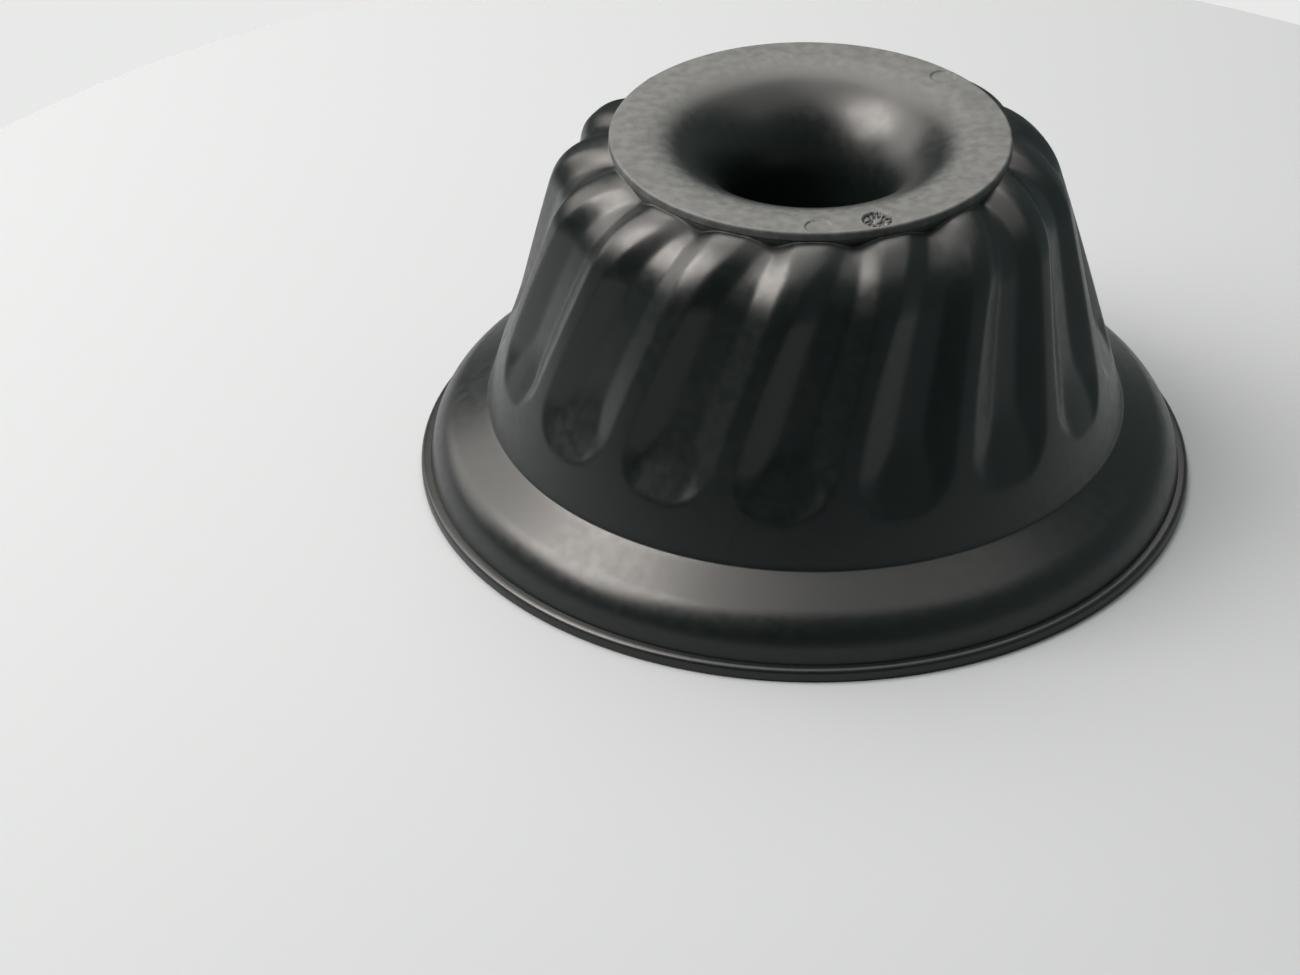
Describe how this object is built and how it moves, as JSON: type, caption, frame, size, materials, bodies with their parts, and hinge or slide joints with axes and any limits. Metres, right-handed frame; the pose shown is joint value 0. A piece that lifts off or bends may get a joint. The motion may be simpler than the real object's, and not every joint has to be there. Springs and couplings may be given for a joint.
{
  "type": "kugelhopf mould",
  "caption": "Ring-shaped cake mould with swirled flutes, a flat foot ring, a tapered centre tube and a sloping rim with a lip, standing upside down on its rim.",
  "frame": {"origin": "centre of the rim, on the surface that the mould stands on when it is upside down", "axes": "+Z along the axis of the centre tube, up from the rim to the foot ring; +X to the right in the picture and -Y towards its camera"},
  "size_m": [0.24, 0.24, 0.114],
  "materials": {
    "black_plastic": "satin moulded"
  },
  "bodies": {
    "root": {"foot_ring": "black_plastic", "crown": "black_plastic", "fluted_wall": "black_plastic", "centre_tube": "black_plastic", "rim_flange": "black_plastic", "rim_lip": "black_plastic"}
  },
  "joints": []
}
